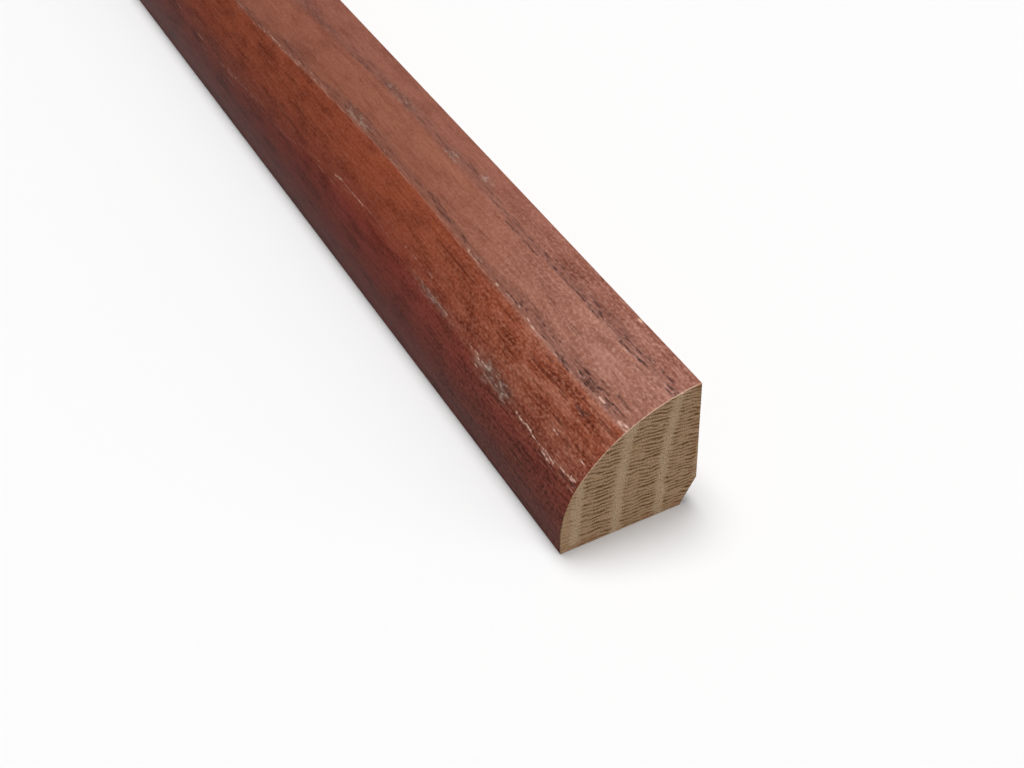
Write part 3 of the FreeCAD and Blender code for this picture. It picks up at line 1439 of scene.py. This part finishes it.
@dataclass
class Moulding:
    """The length of quarter round."""

    section: Section
    length: float
    near_end: float
    grain: Grain
    finish: OakFinish
    layout: FlatLayout
    rim_depth: float = 0.05
    rim_reach: float = 0.2
    rim_fade: float = 14.0
    rim_least: float = 0.1
    rim_bare: float = 0.3
    wear_least: float = 0.2
    wear_blur: int = 3
    near_cap_rings: int = 40
    far_cap_rings: int = 12
    band_recess: float = 0.03
    band_width: float = 0.5
    saw_roughness: float = 0.008
    wear_seed: int = 3
    crease: float = math.radians(25)

    def build(self) -> bpy.types.Object:
        """Makes the mesh, with its worn rims, open grain and marks.

        Returns:
            The object, linked to the scene.
        """
        outline = self.section.outline()
        stations = Stations(self.length)
        along = stations.places()
        runs = {Ring.TOE: TOE_RUNS, Ring.CROWN: CROWN_RUNS, Ring.TOP: TOP_RUNS}
        depth, openness = OpenGrain(self.grain, runs).paint(outline, along)
        bare, smoke = self.paint_marks(outline, along, depth)
        body = self.body_points(outline, along, depth)
        near = self.cap_points(body[0], self.near_cap_rings, End.NEAR)
        far = self.cap_points(body[-1], self.far_cap_rings, End.FAR)
        points = np.concatenate([body.reshape(-1, 3), near, far])

        around = len(outline.girth)
        skin = self.skin_faces(len(along), around)
        near_quads, near_fan = self.cap_faces(around, 0, body.size // 3, self.near_cap_rings, End.NEAR)
        far_first = (len(along) - 1) * around
        far_quads, far_fan = self.cap_faces(around, far_first, body.size // 3 + len(near),
                                            self.far_cap_rings, End.FAR)
        mesh = bpy.data.meshes.new("stained_quarter_round")
        groups = (skin.reshape(-1, 4), near_quads, near_fan, far_quads, far_fan)
        mesh.from_pydata(points.tolist(), [], [face for group in groups for face in group.tolist()])
        self.map_flat(mesh, outline, along, points, groups, stations.fine_reach)
        spare = len(points) - body.size // 3
        for kind, grid in (openness | {Wear.BARE: bare, Wear.SMOKE: smoke}).items():
            self.add_field(mesh, kind.value, grid, spare)
        self.shade(mesh, outline, len(along))
        piece = bpy.data.objects.new("stained_quarter_round", mesh)
        bpy.context.scene.collection.objects.link(piece)
        return piece

    def body_points(self, outline: Outline, along: np.ndarray, depth: np.ndarray) -> np.ndarray:
        """Section points at every station, sunk by their depth.

        Args:
            outline: The section's samples.
            along: The stations' distances from the near end.
            depth: How far each point is sunk.

        Returns:
            Points in metres of the part's frame, by station and outline point.
        """
        flat = outline.points[None, :, :] - depth[:, :, None] * outline.normals[None, :, :]
        across = flat[:, :, 0] - self.section.width / 2
        stations = np.broadcast_to(along[:, None], across.shape)
        return np.stack([across * MM, self.near_end + stations * MM, flat[:, :, 1] * MM], axis=2)

    def cap_points(self, rim: np.ndarray, rings: int, end: End) -> np.ndarray:
        """Rings of points that close an end, shrinking to its middle, with the ring bands sunk a little.

        Args:
            rim: The end's rim points.
            rings: How many rings there are, the last a single point.
            end: Which end.

        Returns:
            The points, ring by ring.
        """
        middle = rim.mean(axis=0)
        shares = 1 - np.arange(1, rings) / rings
        cap = middle + shares[:, None, None] * (rim - middle)[None, :, :]
        cap = np.concatenate([cap.reshape(-1, 3), middle[None, :]])
        across = cap[:, 0] / MM + self.section.width / 2
        place = self.grain.ring_place(across, (cap[:, 1] - self.near_end) / MM, cap[:, 2] / MM, np.cos)
        phase = ((place - self.grain.first_line) / self.grain.ring_width + 0.5) % 1 - 0.5
        band = np.exp(-(phase * self.grain.ring_width / self.band_width) ** 2)
        draw = np.random.default_rng(self.wear_seed)
        sunk = band * self.band_recess + draw.uniform(0, 2 * self.saw_roughness, len(cap))
        cap[:, 1] -= end.value * sunk * MM
        return cap

    def paint_marks(self, outline: Outline, along: np.ndarray,
                    depth: np.ndarray) -> tuple[np.ndarray, np.ndarray]:
        """Wears the sawn rims and cuts the face's marks.

        Args:
            outline: The section's samples.
            along: The stations' distances from the near end.
            depth: Depths of the grid, which the wear is added to.

        Returns:
            How bare and how grey the wood is at each point of the grid.
        """
        draw = np.random.default_rng(self.wear_seed)
        bare = np.zeros_like(depth)
        smoke = np.zeros_like(depth)
        for mark in FaceMark:
            size = mark.value
            shape = np.exp(-((along[:, None] - size.along) / (size.length / 2)) ** 2
                           - ((outline.girth[None, :] - size.girth) / (size.width / 2)) ** 2)
            depth += shape * size.depth
            bare = np.maximum(bare, shape * size.bare)
            smoke = np.maximum(smoke, shape * size.smoke)
        shown = np.clip(outline.girth / self.rim_fade, self.rim_least, 1) * outline.on_face
        blur = np.ones(self.wear_blur) / self.wear_blur
        for distance in (along, self.length - along):
            rough = draw.uniform(self.wear_least, 1.0, len(outline.girth) + self.wear_blur - 1)
            wear = np.convolve(rough, blur, "valid")
            closeness = np.clip(1 - distance / self.rim_reach, 0, 1)
            depth += closeness[:, None] ** 2 * wear[None, :] * self.rim_depth
            bare = np.maximum(bare, closeness[:, None] * (self.rim_bare + wear[None, :]) * shown)
        return bare, smoke

    @staticmethod
    def skin_faces(stations: int, around: int) -> np.ndarray:
        """Faces of the long skin.

        Args:
            stations: How many stations there are.
            around: How many points the outline has.

        Returns:
            Point numbers by station, outline point and corner.
        """
        first = np.arange(stations - 1)[:, None] * around
        line = np.arange(around)[None, :]
        after = (line + 1) % around
        return np.stack([first + line, first + after, first + around + after, first + around + line], axis=2)

    @staticmethod
    def cap_faces(around: int, rim: int, first: int, rings: int, end: End) -> tuple[np.ndarray, np.ndarray]:
        """Faces of an end, from the rim to its middle.

        Args:
            around: How many points the outline has.
            rim: Number of the rim's first point.
            first: Number of the cap's first point.
            rings: How many rings there are, the last a single point.
            end: Which end.

        Returns:
            The quads, and the triangles round the middle.
        """
        starts = np.array([rim, *(first + around * ring for ring in range(rings - 1))])[:, None]
        line = np.arange(around)[None, :]
        after = (line + 1) % around
        outer, inner = starts[:-1], starts[1:]
        quads = np.stack([outer + line, inner + line, inner + after, outer + after], axis=2).reshape(-1, 4)
        last = starts[-1]
        middle = np.full(around, first + around * (rings - 1))
        fan = np.stack([last + line[0], middle, last + after[0]], axis=1)
        if end is End.FAR:
            quads, fan = quads[:, ::-1], fan[:, ::-1]
        return quads, fan

    def map_flat(self, mesh: bpy.types.Mesh, outline: Outline, along: np.ndarray, points: np.ndarray,
                 groups: Sequence[np.ndarray], fine_reach: float) -> None:
        """Lays the skin and the ends out flat on a square map for a texture.

        Args:
            mesh: The mesh, with its faces in the order of the groups.
            outline: The section's samples.
            along: The stations' distances from the near end.
            points: The mesh's points.
            groups: Faces of the skin, then quads and triangles of the near and the far end.
            fine_reach: Where the photographed stretch stops.
        """
        girth = np.append(outline.girth, outline.total)
        flat = np.stack([points[:, 0] / MM + self.section.width / 2, points[:, 2] / MM], axis=1)
        places = [self.layout.body(along, girth, fine_reach).reshape(-1, 2)]
        for faces, end in zip(groups[1:], (End.NEAR, End.NEAR, End.FAR, End.FAR)):
            places.append(self.layout.end(flat, end)[faces.ravel()])
        layer = mesh.uv_layers.new(name=self.layout.name)
        layer.data.foreach_set("uv", np.concatenate(places).astype(np.float32).ravel())

    @staticmethod
    def add_field(mesh: bpy.types.Mesh, name: str, grid: np.ndarray, spare: int) -> None:
        """Stores a grid of values on the mesh's points, with nothing on the caps."""
        values = np.concatenate([grid.ravel(), np.zeros(spare)]).astype(np.float32)
        mesh.attributes.new(name, "FLOAT", "POINT").data.foreach_set("value", values)

    def shade(self, mesh: bpy.types.Mesh, outline: Outline, stations: int) -> None:
        """Shades the skin smooth, with crisp edges at the heel and the sawn rims.

        Args:
            mesh: The mesh.
            outline: The section's samples.
            stations: How many stations the skin has.
        """
        mesh.shade_smooth()
        around = len(outline.girth)
        ends = np.zeros(len(mesh.edges) * 2, np.int32)
        mesh.edges.foreach_get("vertices", ends)
        ends = ends.reshape(-1, 2)
        turn = np.einsum("ij,ij->i", outline.normals, np.roll(outline.normals, 1, axis=0))
        corners = np.flatnonzero(turn < math.cos(self.crease))
        on_skin = (ends < stations * around).all(axis=1)
        line, station = ends % around, ends // around
        corner = (line[:, 0] == line[:, 1]) & np.isin(line[:, 0], corners)
        rim = (station[:, 0] == station[:, 1]) & np.isin(station[:, 0], (0, stations - 1))
        sharp = mesh.attributes.new("sharp_edge", "BOOLEAN", "EDGE")
        sharp.data.foreach_set("value", on_skin & (corner | rim))

    def dress(self, piece: bpy.types.Object) -> None:
        """Gives the stock its oak."""
        piece.data.materials.append(self.finish.material(self.grain, self.section, self.length))


@dataclass(frozen=True)
class Lamp:
    """A soft distant lamp.

    Attributes:
        name: Its name.
        towards: Direction from the object to the lamp.
        level: Light it gives a surface that faces it, where 1 shows a colour as written.
        spread: Angle that the lamp fills, in radians.
    """

    name: str
    towards: tuple[float, float, float]
    level: float
    spread: float

    def build(self) -> None:
        """Adds the lamp to the scene."""
        data = bpy.data.lights.new(self.name, "SUN")
        data.energy = self.level * math.pi
        data.angle = self.spread
        lamp = bpy.data.objects.new(self.name, data)
        lamp.rotation_mode = "QUATERNION"
        lamp.rotation_quaternion = Vector(self.towards).to_track_quat("Z", "Y")
        bpy.context.scene.collection.objects.link(lamp)


@dataclass(frozen=True)
class ViewPoint:
    """The photograph's camera, in millimetres from the section's toe at the near end."""

    eye: tuple[float, float, float] = (-66.15, -119.99, 149.69)
    forward: tuple[float, float, float] = (0.33603, 0.66632, -0.66566)
    right: tuple[float, float, float] = (0.88179, -0.4709, -0.02624)
    focal_pixels: float = 1689.5
    image_width: float = 1024.0
    sensor: float = 36.0
    clip_start: float = 0.01
    clip_end: float = 100.0

    def build(self, toe: Vector) -> None:
        """Adds the camera and makes it the scene's own.

        Args:
            toe: The section's toe at the near end, in metres.
        """
        data = bpy.data.cameras.new("photo_view")
        data.sensor_width = self.sensor
        data.lens = self.focal_pixels / self.image_width * self.sensor
        data.clip_start = self.clip_start
        data.clip_end = self.clip_end
        camera = bpy.data.objects.new("photo_view", data)
        back = -Vector(self.forward).normalized()
        right = Vector(self.right)
        right = (right - back * right.dot(back)).normalized()
        turn = Matrix((right, back.cross(right), back)).transposed()
        camera.matrix_world = Matrix.Translation(toe + Vector(self.eye) * MM) @ turn.to_4x4()
        bpy.context.scene.collection.objects.link(camera)
        bpy.context.scene.camera = camera


@dataclass
class Studio:
    """Pale floor, soft lamps, dim surroundings and the camera."""

    floor_half: float = 15.0
    floor_drop: float = 0.02 * MM
    floor_shown: Colour = (236, 236, 236)
    floor_bounce: Colour = (110, 108, 106)
    floor_lift: float = 0.08
    surround: float = 0.19
    lamps: tuple[Lamp, ...] = (
        Lamp("overhead_key", (0.087, 0.2, 0.97), 0.82, math.radians(36)),
        Lamp("front_fill", (0.45, -0.86, 0.24), 0.45, math.radians(60)),
    )
    view: ViewPoint = ViewPoint()

    def build(self, toe: Vector) -> None:
        """Sets the studio up round the stock.

        Args:
            toe: The section's toe at the near end, in metres.
        """
        settings = bpy.context.scene.view_settings
        settings.view_transform = "Standard"
        self.lay_floor()
        self.surround_with_light()
        for lamp in self.lamps:
            lamp.build()
        self.view.build(toe)

    @staticmethod
    def seen(graph: NodeGraph) -> Wire:
        """1 for rays that show the surroundings to the eye, straight, mirrored or through glass."""
        path = graph.node("ShaderNodeLightPath")
        rays = [Wire(graph, path.outputs[f"Is {kind} Ray"]) for kind in ("Camera", "Glossy", "Transmission")]
        return rays[0].most(rays[1]).most(rays[2])

    def lay_floor(self) -> None:
        """Makes the floor, which shows white with the stock's shadow but throws little light back."""
        half = self.floor_half
        mesh = bpy.data.meshes.new("studio_floor")
        corners = [(x * half, y * half, -self.floor_drop) for x, y in ((-1, -1), (1, -1), (1, 1), (-1, 1))]
        mesh.from_pydata(corners, [], [(0, 1, 2, 3)])
        material = bpy.data.materials.new("pale_floor")
        material.use_nodes = True
        graph = NodeGraph(material.node_tree)
        shown = graph.wire("ShaderNodeBsdfDiffuse", None, {"Color": linear(self.floor_shown)})
        lift = graph.wire("ShaderNodeEmission", None, {"Strength": self.floor_lift})
        shown = graph.wire("ShaderNodeAddShader", None, {0: shown, 1: lift})
        bounce = graph.wire("ShaderNodeBsdfDiffuse", None, {"Color": linear(self.floor_bounce)})
        mixed = graph.wire("ShaderNodeMixShader", None, {0: self.seen(graph), 1: bounce, 2: shown})
        graph.node("ShaderNodeOutputMaterial", None, {"Surface": mixed})
        mesh.materials.append(material)
        floor = bpy.data.objects.new("studio_floor", mesh)
        bpy.context.scene.collection.objects.link(floor)

    def surround_with_light(self) -> None:
        """Makes the surroundings: dim on the stock, white to the eye."""
        world = bpy.data.worlds.new("studio_surround")
        world.use_nodes = True
        graph = NodeGraph(world.node_tree)
        dim = graph.wire("ShaderNodeBackground", None, {"Strength": self.surround})
        white = graph.wire("ShaderNodeBackground", None, {"Color": (1, 1, 1, 1), "Strength": 1.0})
        path = graph.node("ShaderNodeLightPath")
        mixed = graph.wire("ShaderNodeMixShader", None,
                           {0: Wire(graph, path.outputs["Is Camera Ray"]), 1: dim, 2: white})
        graph.node("ShaderNodeOutputWorld", None, {"Surface": mixed})
        bpy.context.scene.world = world


def main() -> None:
    """Builds the moulding and its studio, and reports each piece."""
    logging.basicConfig(level=logging.INFO, format="%(name)s: %(message)s")
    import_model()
    low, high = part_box(NODE)
    section = Section(width=(high.x - low.x) / MM)
    moulding = Moulding(section, (high.y - low.y) / MM, low.y, Grain(), OakFinish(), FlatLayout())
    piece = moulding.build()
    moulding.dress(piece)
    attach(piece, BODY)
    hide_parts(NODE)
    LOG.info("%s: %d points, %d faces", piece.name, len(piece.data.vertices), len(piece.data.polygons))

    Studio().build(Vector((low.x, low.y, 0)))
    LOG.info("studio: floor, lamps, surroundings and camera")


if __name__ == "__main__":
    main()
